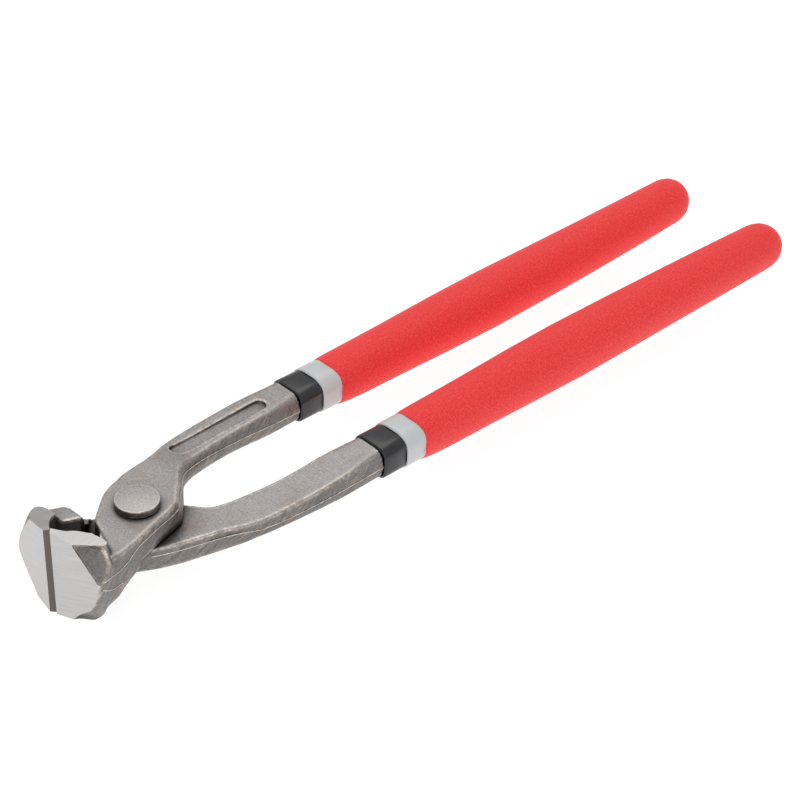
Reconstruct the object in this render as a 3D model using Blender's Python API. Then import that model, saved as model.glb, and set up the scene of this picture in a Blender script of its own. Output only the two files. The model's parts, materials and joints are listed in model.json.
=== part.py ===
"""Concreters nippers (end-cutting tower pincers), 280 mm long, built at real size in metres.

Two identical drop forgings cross in a lap joint and turn on one headed rivet. Each forging runs
from a wide ground cutting jaw through a flat lap plate and a drafted arm into a tang. Each tang
carries three dipped coats, one over the other: black, light grey, and the thick red grip.

The tool lies flat: X across the handles, Y from the jaws to the handle ends, Z up through the
rivet. The origin is under the middle of the tool, at the height of the lowest ground facet.
A forging is modelled once, about the pivot, as the upper lever; the lower lever is the same
forging turned half round about Y.
"""

import math

import bmesh
import bpy
from mathutils import Vector

# Reach along the tool, measured from the rivet's axis.
JAW_REACH = 0.0289
EDGE_SETBACK = 0.0012
COLLAR_START = 0.0688
GREY_START = 0.0770
GRIP_START = 0.0839
GRIP_END = 0.2481

# Lap joint and rivet.
LAP_GAP = 0.0003
PLATE_THICKNESS = 0.0078
PLATE_SIDE = 0.0125
PLATE_LOBE = 0.0091
PLATE_FRONT = 0.0129
PLATE_END = -0.0188
SHANK_RADIUS = 0.0040
HEAD_RADIUS = 0.00625
HEAD_HEIGHT = 0.0019
HEAD_EDGE = 0.00056
PEENED_RADIUS = 0.0056
PEENED_HEIGHT = 0.0014
RUNNING_CLEARANCE = 0.0003

# Arm of a lever: the handles' half spacing, and the arm's width and thickness at its two ends.
COLLAR_SPREAD = 0.0180
END_SPREAD = 0.0204
COLLAR_WIDTH = 0.0126
COLLAR_THICKNESS = 0.0098
MIDDLE_Y = 0.044
MIDDLE_SPREAD = 0.0170
MIDDLE_WIDTH = 0.0120
MIDDLE_TOP = 0.0050
MIDDLE_BOTTOM = -0.0023
SHOULDER_Y = 0.028
SHOULDER_SPREAD = 0.0150
SHOULDER_WIDTH = 0.0126
SHOULDER_TOP = 0.0052
SHOULDER_BOTTOM = -0.0011
SHOULDER_END = 0.0172
THROAT_Y = 0.0163
PARTING_RISE = 0.0013
FLASH_RISE = 0.00025
FORGED_DRAFT = math.radians(3.0)
THROAT_DRAFT = math.radians(12.0)
PLATE_EDGE_RADIUS = 0.0009
ARM_EDGE_RADIUS = 0.0017
ARM_INNER_RADIUS = 0.0010
ARM_BOTTOM_RADIUS = 0.0006
COLLAR_EDGE_RADIUS = 0.0034

# Recessed panel on the arm's outer face, left bare.
PANEL_LENGTH = 0.0360
PANEL_WIDTH = 0.0044
PANEL_DEPTH = 0.0008
PANEL_Y = 0.0411
PANEL_SIDE_SHIFT = 0.0
PANEL_LEAN = math.radians(3.4)

# Jaw: ground faces, and the forged block behind them.
NEAR_HEIGHT = 0.0151
FAR_HEIGHT = 0.0142
JAW_WIDTH = 0.0182
JAW_CENTRE = 0.0065
JAW_BELLY_Z = 0.0040
FACE_RECESSION = math.radians(10.0)
FAR_FALL = math.radians(15.0)
FAR_RISE = math.radians(9.0)
FACE_START = 0.0016
EDGE_GAP = 0.0003
GRINDING_STOCK = 0.0010
JAW_REAR = -0.0060
LEAF_REAR = -0.0204
FAR_REAR = -0.0222
CAVITY_REAR = -0.0120
NECK_SEAT_RADIUS = 0.0134
SCOOP_APEX = (0.0088, -0.0275, 0.0146)
SCOOP_LOW = (0.0176, -0.0258, 0.0052)
SCOOP_HIGH = (0.0158, -0.0208, 0.0142)
SCOOP_LENGTH = 0.0125
SCOOP_DEPTH = 0.5
SCOOP_OPENING = 2.5
CAP_REAR = 0.0150
CAP_HEIGHT = 0.0102
NECK_DEPTH = 0.0045

# Tang and the coats over it.
NECK_WIDTH = 0.0110
NECK_THICKNESS = 0.0084
NECK_STEP = 0.0003
TANG_WIDTH = 0.0084
TANG_THICKNESS = 0.0074
TANG_END_WIDTH = 0.0076
TANG_END_THICKNESS = 0.0070
TANG_STEP = 0.0075
COAT_GAP = 0.0003
BLACK_WALL = 0.0008
BLACK_LIP_WIDTH = 0.0134
BLACK_LIP_THICKNESS = 0.0108
GREY_WALL = 0.0007
GREY_LIP_WIDTH = 0.0152
GREY_LIP_THICKNESS = 0.0130
GRIP_FRONT_WIDTH = 0.0160
GRIP_FRONT_THICKNESS = 0.0138
GRIP_ROUND = 0.0162
GRIP_SWELL = 0.0178
GRIP_BACK = 0.0155
GRIP_SWELL_LENGTH = 0.006
GRIP_SWELL_Y = 0.150
GRIP_NOSE = 0.0080
LIP_ROUNDING = 0.0004
TANG_CHAMFER = 0.0010
COAT_SQUARENESS = 3.2
GRIP_SQUARENESS = 2.1
NOSE_REACH = math.sin(math.radians(83))

# Fineness of the meshes.
CORNER_STEPS = 4
JAW_ARC_STEPS = 9
COAT_SIDES = 20
ROUND_SIDES = 40
ARM_STEP = 0.0042
PLATE_STEP = 0.0011
JAW_STEP = 0.0006
GRIP_STEP = 0.030

PLATE_TOP = LAP_GAP / 2 + PLATE_THICKNESS
PLATE_BOTTOM = LAP_GAP / 2
PIVOT_Y = (JAW_REACH - GRIP_END) / 2
REST_HEIGHT = NEAR_HEIGHT


def clear_scene():
    """Remove whatever the scene holds."""
    for obj in list(bpy.data.objects):
        bpy.data.objects.remove(obj, do_unlink=True)


def surface(name, colour, roughness, metallic):
    """A Principled material."""
    material = bpy.data.materials.new(name)
    material.use_nodes = True
    shader = material.node_tree.nodes["Principled BSDF"]
    shader.inputs["Base Color"].default_value = (*colour, 1.0)
    shader.inputs["Roughness"].default_value = roughness
    shader.inputs["Metallic"].default_value = metallic
    material.diffuse_color = (*colour, 1.0)
    return material


def curve_through(stations):
    """A smooth function through (place, value) stations that never overshoots them."""
    stations = sorted(stations)
    places = [place for place, _ in stations]
    values = [value for _, value in stations]
    rises = [
        (values[i + 1] - values[i]) / (places[i + 1] - places[i])
        for i in range(len(places) - 1)
    ]
    slopes = [rises[0]]
    for before, after in zip(rises, rises[1:]):
        same_way = before * after > 0
        slopes.append(2 * before * after / (before + after) if same_way else 0.0)
    slopes.append(rises[-1])

    def value_at(place):
        place = min(max(place, places[0]), places[-1])
        i = max(k for k in range(len(places) - 1) if place >= places[k])
        span = places[i + 1] - places[i]
        t = (place - places[i]) / span
        start = values[i] * (1 + 2 * t) * (1 - t) ** 2 + slopes[i] * span * t * (1 - t) ** 2
        end = values[i + 1] * (3 - 2 * t) * t * t - slopes[i + 1] * span * (1 - t) * t * t
        return start + end

    return value_at


def outer_stations():
    """Stations (y, x) of the outer side, the round of the plate and its slanting front edge."""
    arm = [
        (COLLAR_START, -(COLLAR_SPREAD + COLLAR_WIDTH / 2)),
        (MIDDLE_Y, -(MIDDLE_SPREAD + MIDDLE_WIDTH / 2)),
        (SHOULDER_Y, -(SHOULDER_SPREAD + SHOULDER_WIDTH / 2)),
        (SHOULDER_END, -(PLATE_SIDE + 0.0037)),
    ]
    plate = [
        (0.0040, -PLATE_SIDE),
        (-0.0063, -PLATE_SIDE + 0.0046),
        (-PLATE_FRONT, -0.0021),
    ]
    front = [
        (-PLATE_FRONT - 0.0004, -0.0006),
        (-PLATE_FRONT - 0.0027, 0.0064),
        (-PLATE_FRONT - 0.0044, 0.0110),
        (-PLATE_FRONT - 0.0080, 0.0124),
    ]
    return arm + plate + front


def inner_stations():
    """Stations (y, x) of the inner side, the throat, the plate's far lobe and the jaw's flank."""
    arm = [
        (COLLAR_START, -(COLLAR_SPREAD - COLLAR_WIDTH / 2)),
        (MIDDLE_Y, -(MIDDLE_SPREAD - MIDDLE_WIDTH / 2)),
        (SHOULDER_Y, -(SHOULDER_SPREAD - SHOULDER_WIDTH / 2)),
        (THROAT_Y + 0.0042, -0.0055),
        (THROAT_Y, -0.0010),
    ]
    plate = [
        (THROAT_Y - 0.0023, 0.0022),
        (THROAT_Y - 0.0067, PLATE_LOBE - 0.0025),
        (0.0010, PLATE_LOBE),
        (-0.0120, PLATE_LOBE + 0.0039),
        (-0.0200, PLATE_LOBE + 0.0056),
    ]
    return arm + plate


OUTER_CURVE = curve_through(outer_stations())
INNER_CURVE = curve_through(inner_stations())
TOP_CURVE = curve_through(
    [
        (COLLAR_START, COLLAR_THICKNESS / 2),
        (MIDDLE_Y, MIDDLE_TOP),
        (SHOULDER_Y, SHOULDER_TOP),
        (THROAT_Y + 0.0040, 0.25 * SHOULDER_TOP + 0.75 * PLATE_TOP),
        (THROAT_Y - 0.0015, PLATE_TOP),
        (-0.0200, PLATE_TOP),
    ]
)
BOTTOM_CURVE = curve_through(
    [
        (COLLAR_START, -COLLAR_THICKNESS / 2),
        (MIDDLE_Y, MIDDLE_BOTTOM),
        (SHOULDER_Y, SHOULDER_BOTTOM),
        (THROAT_Y + 0.0035, PLATE_BOTTOM),
        (-0.0200, PLATE_BOTTOM),
    ]
)
PARTING_CURVE = curve_through(
    [
        (COLLAR_START, 0.0),
        (MIDDLE_Y, PARTING_RISE),
        (SHOULDER_Y, PARTING_RISE + 0.0003),
        (THROAT_Y + 0.0035, 0.3 * PLATE_TOP),
    ]
)
INNER_DRAFT_CURVE = curve_through(
    [
        (0.0360, FORGED_DRAFT),
        (THROAT_Y + 0.0060, THROAT_DRAFT),
        (THROAT_Y - 0.0020, THROAT_DRAFT),
        (0.0050, FORGED_DRAFT),
    ]
)
OUTER_RADIUS_CURVE = curve_through(
    [
        (COLLAR_START, COLLAR_EDGE_RADIUS),
        (MIDDLE_Y + 0.0080, ARM_EDGE_RADIUS),
        (SHOULDER_Y, ARM_EDGE_RADIUS),
        (SHOULDER_END, PLATE_EDGE_RADIUS),
    ]
)
INNER_RADIUS_CURVE = curve_through(
    [
        (COLLAR_START, COLLAR_EDGE_RADIUS),
        (MIDDLE_Y + 0.0080, ARM_INNER_RADIUS),
        (SHOULDER_Y, ARM_INNER_RADIUS),
        (THROAT_Y, PLATE_EDGE_RADIUS),
    ]
)
BOTTOM_RADIUS_CURVE = curve_through(
    [
        (COLLAR_START, COLLAR_EDGE_RADIUS),
        (MIDDLE_Y + 0.0080, ARM_BOTTOM_RADIUS),
        (SHOULDER_Y, ARM_BOTTOM_RADIUS),
        (THROAT_Y + 0.0035, 0.3 * PLATE_EDGE_RADIUS),
    ]
)


def handle_centre(y):
    """The x of a handle's centre line, which bends outwards towards its end."""
    share = max(0.0, (y - COLLAR_START) / (GRIP_END - COLLAR_START))
    return -(COLLAR_SPREAD + share**3 * (END_SPREAD - COLLAR_SPREAD))


def add_loft(mesh, rings):
    """Join rings of equal count into one closed skin, capped at both ends."""
    rows = [[mesh.verts.new(point) for point in ring] for ring in rings]
    count = len(rows[0])
    for here, following in zip(rows, rows[1:]):
        for i in range(count):
            j = (i + 1) % count
            mesh.faces.new((here[i], here[j], following[j], following[i]))
    mesh.faces.new(list(reversed(rows[0])))
    mesh.faces.new(rows[-1])
    bmesh.ops.recalc_face_normals(mesh, faces=mesh.faces)


def object_from(mesh, name):
    """Put a bmesh into the scene as an object."""
    data = bpy.data.meshes.new(name)
    mesh.to_mesh(data)
    mesh.free()
    obj = bpy.data.objects.new(name, data)
    bpy.context.scene.collection.objects.link(obj)
    return obj


def corner_arc(centre_x, centre_z, radius, start, y):
    """The points of a quarter round of a section at y, starting at the given angle."""
    points = []
    for step in range(CORNER_STEPS + 1):
        angle = start + math.pi / 2 * step / CORNER_STEPS
        x = centre_x + radius * math.cos(angle)
        z = centre_z + radius * math.sin(angle)
        points.append(Vector((x, y, z)))
    return points


def arm_ring(y, left, right, bottom, top, radii, parting=0.0, inner_draft=FORGED_DRAFT):
    """A forged section: rounded corners, drafted flanks, and a flash ridge at the parting height.

    The radii are those of the bottom corners, the outer top corner and the inner top corner.
    """
    bottom_radius, outer_radius, inner_radius = radii
    outer_up = (top - parting) * math.tan(FORGED_DRAFT)
    inner_up = (top - parting) * math.tan(inner_draft)
    down = (parting - bottom) * math.tan(FORGED_DRAFT)
    ring = [Vector((right + FLASH_RISE, y, parting))]
    ring += corner_arc(right - inner_up - inner_radius, top - inner_radius, inner_radius, 0.0, y)
    ring += corner_arc(left + outer_up + outer_radius, top - outer_radius, outer_radius, math.pi / 2, y)
    ring.append(Vector((left - FLASH_RISE, y, parting)))
    low = bottom + bottom_radius
    ring += corner_arc(left + down + bottom_radius, low, bottom_radius, math.pi, y)
    ring += corner_arc(right - down - bottom_radius, low, bottom_radius, 1.5 * math.pi, y)
    return ring


def steps_between(start, end, step):
    """Even places from start to end, at most a step apart."""
    count = max(1, math.ceil(abs(end - start) / step))
    return [start + (end - start) * i / count for i in range(count)]


def tang_half_sizes(y):
    """Half the tang's width and thickness at y, under the coats."""
    step_end = COLLAR_START + TANG_STEP
    if y < step_end:
        share = (y - COLLAR_START) / TANG_STEP
        share = share * share * (3 - 2 * share)
        width = NECK_WIDTH + share * (TANG_WIDTH - NECK_WIDTH)
        thickness = NECK_THICKNESS + share * (TANG_THICKNESS - NECK_THICKNESS)
    else:
        share = (y - step_end) / (tang_end() - step_end)
        width = TANG_WIDTH + share * (TANG_END_WIDTH - TANG_WIDTH)
        thickness = TANG_THICKNESS + share * (TANG_END_THICKNESS - TANG_THICKNESS)
    return width / 2, thickness / 2


def tang_end():
    """Where the steel stops inside the grip."""
    return GRIP_END - GRIP_NOSE


def tang_places():
    """The places along the tang, from its end to the shoulder that the coats start behind."""
    step = [COLLAR_START + share * TANG_STEP for share in (1.0, 0.6, 0.3, 0.0)]
    return [tang_end(), tang_end() - TANG_CHAMFER] + step


def arm_and_plate():
    """The tang, the arm and the lap plate, as one loft along the tool."""
    rings = []
    for y in tang_places():
        half_width, half_thickness = tang_half_sizes(y)
        if y == tang_end():
            half_width -= TANG_CHAMFER
            half_thickness -= TANG_CHAMFER
        centre = handle_centre(y)
        radius = COLLAR_EDGE_RADIUS * half_thickness / (COLLAR_THICKNESS / 2)
        sides = (centre - half_width, centre + half_width, -half_thickness, half_thickness)
        rings.append(arm_ring(y, *sides, (radius, radius, radius)))
    places = steps_between(COLLAR_START - NECK_STEP, THROAT_Y + 0.006, ARM_STEP)
    places += steps_between(THROAT_Y + 0.006, -0.0100, PLATE_STEP)
    places += steps_between(-0.0100, PLATE_END, 0.6 * PLATE_STEP)
    places.append(PLATE_END)
    for y in places:
        sides = (OUTER_CURVE(y), INNER_CURVE(y), BOTTOM_CURVE(y), TOP_CURVE(y))
        radii = (BOTTOM_RADIUS_CURVE(y), OUTER_RADIUS_CURVE(y), INNER_RADIUS_CURVE(y))
        rings.append(arm_ring(y, *sides, radii, PARTING_CURVE(y), INNER_DRAFT_CURVE(y)))
    mesh = bmesh.new()
    add_loft(mesh, rings)
    return object_from(mesh, "lever_blank")


def quarter(centre_x, centre_z, half_x, half_z, power, start, end, y):
    """Points of a squared round (a superellipse) between two angles."""
    points = []
    for step in range(JAW_ARC_STEPS + 1):
        angle = start + (end - start) * step / JAW_ARC_STEPS
        cosine = math.cos(angle)
        sine = math.sin(angle)
        x = centre_x + half_x * math.copysign(abs(cosine) ** (2 / power), cosine)
        z = centre_z + half_z * math.copysign(abs(sine) ** (2 / power), sine)
        points.append(Vector((x, y, z)))
    return points


def jaw_block():
    """The forged block of the jaw, before it is ground: a loft of rounded D sections."""
    front = -JAW_REACH - GRINDING_STOCK
    width = curve_through(
        [
            (front, JAW_WIDTH),
            (-0.0250, JAW_WIDTH - 0.0004),
            (LEAF_REAR, JAW_WIDTH - 0.0022),
            (-0.0160, JAW_WIDTH - 0.0041),
            (JAW_REAR, JAW_WIDTH - 0.0071),
        ]
    )
    near_top = curve_through(
        [
            (front, NEAR_HEIGHT + GRINDING_STOCK),
            (LEAF_REAR - 0.0010, NEAR_HEIGHT + 0.5 * GRINDING_STOCK),
            (LEAF_REAR, NEAR_HEIGHT - 0.0008),
            (LEAF_REAR + 0.0010, NEAR_HEIGHT - 0.0045),
            (LEAF_REAR + 0.0020, PLATE_TOP - 0.0004),
            (JAW_REAR, PLATE_TOP - 0.0006),
        ]
    )
    far_bottom = curve_through(
        [
            (front, -FAR_HEIGHT - GRINDING_STOCK),
            (FAR_REAR - 0.0012, -FAR_HEIGHT - 0.2 * GRINDING_STOCK),
            (FAR_REAR, -FAR_HEIGHT + 0.0010),
            (FAR_REAR + 0.0012, -CAP_HEIGHT - 0.0008),
            (-CAP_REAR - 0.0012, -CAP_HEIGHT),
            (-CAP_REAR, -CAP_HEIGHT + 0.0012),
            (-CAP_REAR + 0.0014, -NECK_DEPTH),
            (JAW_REAR, -0.3 * NECK_DEPTH),
        ]
    )
    squareness = curve_through([(front, 1.9), (-0.0265, 2.0), (-0.0230, 3.0), (JAW_REAR, 4.0)])
    far_squareness = curve_through([(front, 1.15), (-0.0270, 1.25), (-0.0240, 2.2), (LEAF_REAR, 2.8)])
    places = steps_between(front, -0.0270, 2 * JAW_STEP)
    places += steps_between(-0.0270, -0.0145, JAW_STEP)
    places += steps_between(-0.0145, JAW_REAR, 2 * JAW_STEP)
    places.append(JAW_REAR)
    rings = []
    for y in places:
        belly = min(JAW_BELLY_Z, JAW_BELLY_Z - 0.1 * (y + 0.022))
        reach = width(y) - JAW_CENTRE
        near = near_top(y) - belly
        far = belly - far_bottom(y)
        ring = [Vector((-0.002, y, far_bottom(y))), Vector((-0.002, y, near_top(y)))]
        upper = quarter(JAW_CENTRE, belly, reach, near, squareness(y), 0.0, math.pi / 2, y)
        lower = quarter(JAW_CENTRE, belly, reach, far, far_squareness(y), -math.pi / 2, 0.0, y)
        ring += reversed(upper)
        ring += reversed(lower[:-1])
        rings.append(ring)
    mesh = bmesh.new()
    add_loft(mesh, rings)
    return mesh


def grind(mesh, point, normal):
    """Grind away all that lies beyond a plane, and leave a flat face there."""
    geometry = mesh.verts[:] + mesh.edges[:] + mesh.faces[:]
    cut = bmesh.ops.bisect_plane(
        mesh, geom=geometry, plane_co=point, plane_no=normal, clear_outer=True, dist=1e-7
    )
    rim = [edge for edge in cut["geom_cut"] if isinstance(edge, bmesh.types.BMEdge)]
    bmesh.ops.contextual_create(mesh, geom=rim)


def ground_jaw():
    """The jaw block with its front face, its end facets and the bevel of its edge ground."""
    mesh = jaw_block()
    front = Vector((FACE_START, -JAW_REACH, 0.0))
    grind(mesh, front, Vector((math.sin(FACE_RECESSION), -math.cos(FACE_RECESSION), 0.0)))
    grind(mesh, Vector((0.0, 0.0, NEAR_HEIGHT)), Vector((0.0, 0.0, 1.0)))
    far = Vector((0.0, -JAW_REACH, -FAR_HEIGHT))
    grind(mesh, far, Vector((math.tan(FAR_FALL), -math.tan(FAR_RISE), -1.0)).normalized())
    edge = Vector((EDGE_GAP / 2, -JAW_REACH + EDGE_SETBACK, 0.0))
    along = (front - edge).normalized()
    grind(mesh, edge, Vector((along.y, -along.x, 0.0)))
    bmesh.ops.recalc_face_normals(mesh, faces=mesh.faces)
    return object_from(mesh, "jaw_blank")


def prism(name, outline, bottom, top):
    """A straight-sided cutter from an outline of (x, y) points."""
    mesh = bmesh.new()
    rings = [[Vector((x, y, z)) for x, y in outline] for z in (bottom, top)]
    add_loft(mesh, rings)
    return as_cutter(object_from(mesh, name))


def as_cutter(obj):
    """Mark a helper so that it is neither rendered nor taken as a part."""
    obj.hide_render = True
    obj.display_type = "WIRE"
    return obj


def cavity_outline(depths):
    """The plan of a hollow behind the cutting edge, from its (y, depth) stations."""
    curve = curve_through(depths)
    first = min(y for y, _ in depths)
    last = max(y for y, _ in depths)
    points = [(-0.006, first), (EDGE_GAP / 2, first)]
    count = 14
    for i in range(1, count + 1):
        y = first + (last - first) * i / count
        points.append((curve(y), y))
    points.append((-0.006, last))
    return points


def near_cavity():
    """The deep hollow on the side of the jaw that carries the plate."""
    edge_y = -JAW_REACH + EDGE_SETBACK
    depths = [
        (edge_y, EDGE_GAP / 2),
        (edge_y + 0.0013, 0.0024),
        (-0.0231, 0.0067),
        (LEAF_REAR - 0.0008, 0.0085),
        (LEAF_REAR, 0.0098),
        (LEAF_REAR + 0.0009, 0.0128),
        (LEAF_REAR + 0.0020, 0.0112),
        (LEAF_REAR + 0.0036, 0.0071),
        (LEAF_REAR + 0.0052, 0.0032),
        (CAVITY_REAR, 0.0),
    ]
    return prism("near_cavity", cavity_outline(depths), 0.0004, 0.03)


def far_cavity():
    """The shallow scoop on the other side, which leaves the jaw's block solid behind it."""
    edge_y = -JAW_REACH + EDGE_SETBACK
    depths = [
        (edge_y, EDGE_GAP / 2),
        (edge_y + 0.0013, 0.0024),
        (-0.0250, 0.0040),
        (FAR_REAR - 0.0010, 0.0052),
        (FAR_REAR + 0.0020, 0.0036),
        (-CAP_REAR - 0.0010, 0.0030),
        (-CAP_REAR + 0.0015, 0.0056),
        (-0.0130, 0.0068),
        (-0.0050, 0.0068),
    ]
    return prism("far_cavity", cavity_outline(depths), -0.03, 0.0004)


def flank_scoop():
    """The hollow in the jaw's outer flank: a flattened cone that opens from the wall's near corner.

    It lies between the edge of the ground front face and the edge of the wall's near facet.
    """
    apex = Vector(SCOOP_APEX)
    low = (Vector(SCOOP_LOW) - apex).normalized()
    high = (Vector(SCOOP_HIGH) - apex).normalized()
    axis = (low + high).normalized()
    across = (high - low).normalized()
    outward = axis.cross(across)
    spread = math.tan(low.angle(high) / 2) * SCOOP_LENGTH
    mesh = bmesh.new()
    rim = []
    for i in range(ROUND_SIDES // 2):
        angle = 4 * math.pi * i / ROUND_SIDES
        rise = math.sin(angle) * (SCOOP_OPENING if math.sin(angle) > 0 else SCOOP_DEPTH)
        point = apex + axis * SCOOP_LENGTH + (across * math.cos(angle) + outward * rise) * spread
        rim.append(mesh.verts.new(point))
    tip = mesh.verts.new(apex)
    for here, following in zip(rim, rim[1:] + rim[:1]):
        mesh.faces.new((here, following, tip))
    mesh.faces.new(rim)
    bmesh.ops.recalc_face_normals(mesh, faces=mesh.faces)
    return as_cutter(object_from(mesh, "flank_scoop"))


def round_cutter(name, radius, bottom, top):
    """A cylinder about the rivet's axis."""
    mesh = bmesh.new()
    turns = [2 * math.pi * i / ROUND_SIDES for i in range(ROUND_SIDES)]
    rings = [
        [Vector((radius * math.cos(turn), radius * math.sin(turn), z)) for turn in turns]
        for z in (bottom, top)
    ]
    add_loft(mesh, rings)
    return as_cutter(object_from(mesh, name))


def panel_cutter():
    """The oblong recess, whose floor follows the arm's sloping face."""
    half = PANEL_LENGTH / 2 - PANEL_WIDTH / 2
    radius = PANEL_WIDTH / 2
    outline = []
    for end in (1, -1):
        for step in range(9):
            angle = math.pi * step / 8 + (0 if end > 0 else math.pi)
            outline.append((radius * math.cos(angle), end * half + radius * math.sin(angle)))
    low = PANEL_Y - half
    high = PANEL_Y + half
    rise = (TOP_CURVE(high) - TOP_CURVE(low)) / (high - low)
    middle_low = (OUTER_CURVE(low) + INNER_CURVE(low)) / 2
    middle_high = (OUTER_CURVE(high) + INNER_CURVE(high)) / 2
    lean = -math.tan(PANEL_LEAN)
    floor = (TOP_CURVE(high) + TOP_CURVE(low)) / 2 - PANEL_DEPTH
    centre = (middle_low + middle_high) / 2 + PANEL_SIDE_SHIFT
    rings = []
    for lift in (0.0, 0.01):
        ring = [Vector((centre + x + lean * y, PANEL_Y + y, floor + rise * y + lift)) for x, y in outline]
        rings.append(ring)
    mesh = bmesh.new()
    add_loft(mesh, rings)
    return as_cutter(object_from(mesh, "panel_cutter"))


def apply_boolean(obj, other, operation):
    """Combine obj with other for good, and drop other."""
    modifier = obj.modifiers.new(operation.lower(), "BOOLEAN")
    modifier.operation = operation
    modifier.solver = "EXACT"
    modifier.object = other
    graph = bpy.context.evaluated_depsgraph_get()
    result = bpy.data.meshes.new_from_object(obj.evaluated_get(graph))
    obj.modifiers.clear()
    obj.data = result
    bpy.data.objects.remove(other, do_unlink=True)


def forged_lever():
    """One forging about the pivot, as the upper lever holds it."""
    jaw = ground_jaw()
    apply_boolean(jaw, near_cavity(), "DIFFERENCE")
    apply_boolean(jaw, far_cavity(), "DIFFERENCE")
    apply_boolean(jaw, flank_scoop(), "DIFFERENCE")
    seat = round_cutter("neck_seat", NECK_SEAT_RADIUS, -0.03, PLATE_BOTTOM)
    apply_boolean(jaw, seat, "DIFFERENCE")
    lever = arm_and_plate()
    apply_boolean(lever, jaw, "UNION")
    hole = round_cutter("rivet_hole", SHANK_RADIUS + RUNNING_CLEARANCE, -0.03, 0.03)
    apply_boolean(lever, hole, "DIFFERENCE")
    apply_boolean(lever, panel_cutter(), "DIFFERENCE")
    lever.data.shade_smooth()
    lever.data.set_sharp_from_angle(angle=math.radians(32.0))
    return lever


def coat_ring(y, half_width, half_thickness, power):
    """A coat's section at y: a round drawn slightly square."""
    ring = []
    centre = handle_centre(y)
    for i in range(COAT_SIDES):
        angle = 2 * math.pi * i / COAT_SIDES
        cosine = math.cos(angle)
        sine = math.sin(angle)
        x = centre + half_width * math.copysign(abs(cosine) ** (2 / power), cosine)
        z = half_thickness * math.copysign(abs(sine) ** (2 / power), sine)
        ring.append(Vector((x, y, z)))
    return ring


def coat(name, outside, inside, outer_power):
    """A closed-ended coat, from its stations (y, half width, half thickness) outside and inside.

    outer_power gives how square the outside is at a place along it.
    """
    rings = [coat_ring(*station, outer_power(station[0])) for station in reversed(outside)]
    rings += [coat_ring(*station, COAT_SQUARENESS) for station in inside]
    mesh = bmesh.new()
    add_loft(mesh, rings)
    obj = object_from(mesh, name)
    obj.data.shade_smooth()
    obj.data.set_sharp_from_angle(angle=math.radians(40.0))
    return obj


def grown(stations, gap):
    """The stations of a surface that stands clear of another by a gap, in Y too at its closed end."""
    last = len(stations) - 1
    return [
        (y + (gap if i >= last - 1 else 0.0), width + gap, thickness + gap)
        for i, (y, width, thickness) in enumerate(stations)
    ]


def steel_stations():
    """Stations (y, half width, half thickness) along the steel that the coats cover."""
    stations = [(y, *tang_half_sizes(y)) for y in reversed(tang_places())]
    end, width, thickness = stations.pop()
    stations.append((end, width - TANG_CHAMFER, thickness - TANG_CHAMFER))
    return stations


def lip(start, end, half_width, half_thickness):
    """The open part of a coat, with its rounded front edge."""
    return [
        (start, half_width - LIP_ROUNDING, half_thickness - LIP_ROUNDING),
        (start + 0.3 * LIP_ROUNDING, half_width - 0.3 * LIP_ROUNDING, half_thickness - 0.3 * LIP_ROUNDING),
        (start + LIP_ROUNDING, half_width, half_thickness),
        (end - COAT_GAP, half_width, half_thickness),
    ]


def covered(inner, start, wall):
    """The thin wall of a coat from where the next one covers it to its closed end."""
    grown_wall = COAT_GAP + wall
    along = [station for station in inner if station[0] > start + grown_wall]
    first = half_sizes_at(inner, start)
    stations = [(start, first[0] + grown_wall, first[1] + grown_wall)]
    return stations + grown(along, grown_wall)


def half_sizes_at(stations, y):
    """Half width and half thickness at y, straight between two stations."""
    for (y0, width0, thickness0), (y1, width1, thickness1) in zip(stations, stations[1:]):
        if y0 <= y <= y1:
            share = (y - y0) / (y1 - y0)
            return width0 + share * (width1 - width0), thickness0 + share * (thickness1 - thickness0)
    return stations[-1][1:]


def from_place(stations, start, gap):
    """The bore of a coat that begins at start and goes over the surface of those stations."""
    first = half_sizes_at(stations, start)
    along = [station for station in stations if station[0] > start + gap]
    return [(start, first[0] + gap, first[1] + gap)] + grown(along, gap)


def grip_squareness(y):
    """How square the red grip is: it fits the grey coat at its front, and is round further on."""
    return curve_through([(GRIP_START, COAT_SQUARENESS), (GRIP_START + 0.014, GRIP_SQUARENESS)])(y)


def grip_outside():
    """The red grip: it swells from its front ring, tapers to the back and ends in a round nose."""
    round_start = GRIP_START + 2 * GRIP_SWELL_LENGTH
    nose_start = GRIP_END - GRIP_NOSE
    body = [(round_start, GRIP_ROUND / 2), (GRIP_SWELL_Y, GRIP_SWELL / 2), (nose_start, GRIP_BACK / 2)]
    half_width = curve_through([(GRIP_START, GRIP_FRONT_WIDTH / 2)] + body)
    half_thickness = curve_through([(GRIP_START, GRIP_FRONT_THICKNESS / 2)] + body)
    places = [GRIP_START + 0.5 * LIP_ROUNDING, GRIP_START + 0.7 * GRIP_SWELL_LENGTH]
    places += [GRIP_START + 1.3 * GRIP_SWELL_LENGTH]
    places += steps_between(round_start, nose_start, GRIP_STEP)
    front = (GRIP_FRONT_WIDTH / 2 - LIP_ROUNDING, GRIP_FRONT_THICKNESS / 2 - LIP_ROUNDING)
    stations = [(GRIP_START, *front)]
    stations += [(y, half_width(y), half_thickness(y)) for y in places]
    for degrees in (0, 18, 36, 54, 70, 83):
        angle = math.radians(degrees)
        radius = GRIP_BACK / 2 * math.cos(angle) ** 0.85
        stations.append((nose_start + GRIP_NOSE * math.sin(angle) / NOSE_REACH, radius, radius))
    return stations


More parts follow.
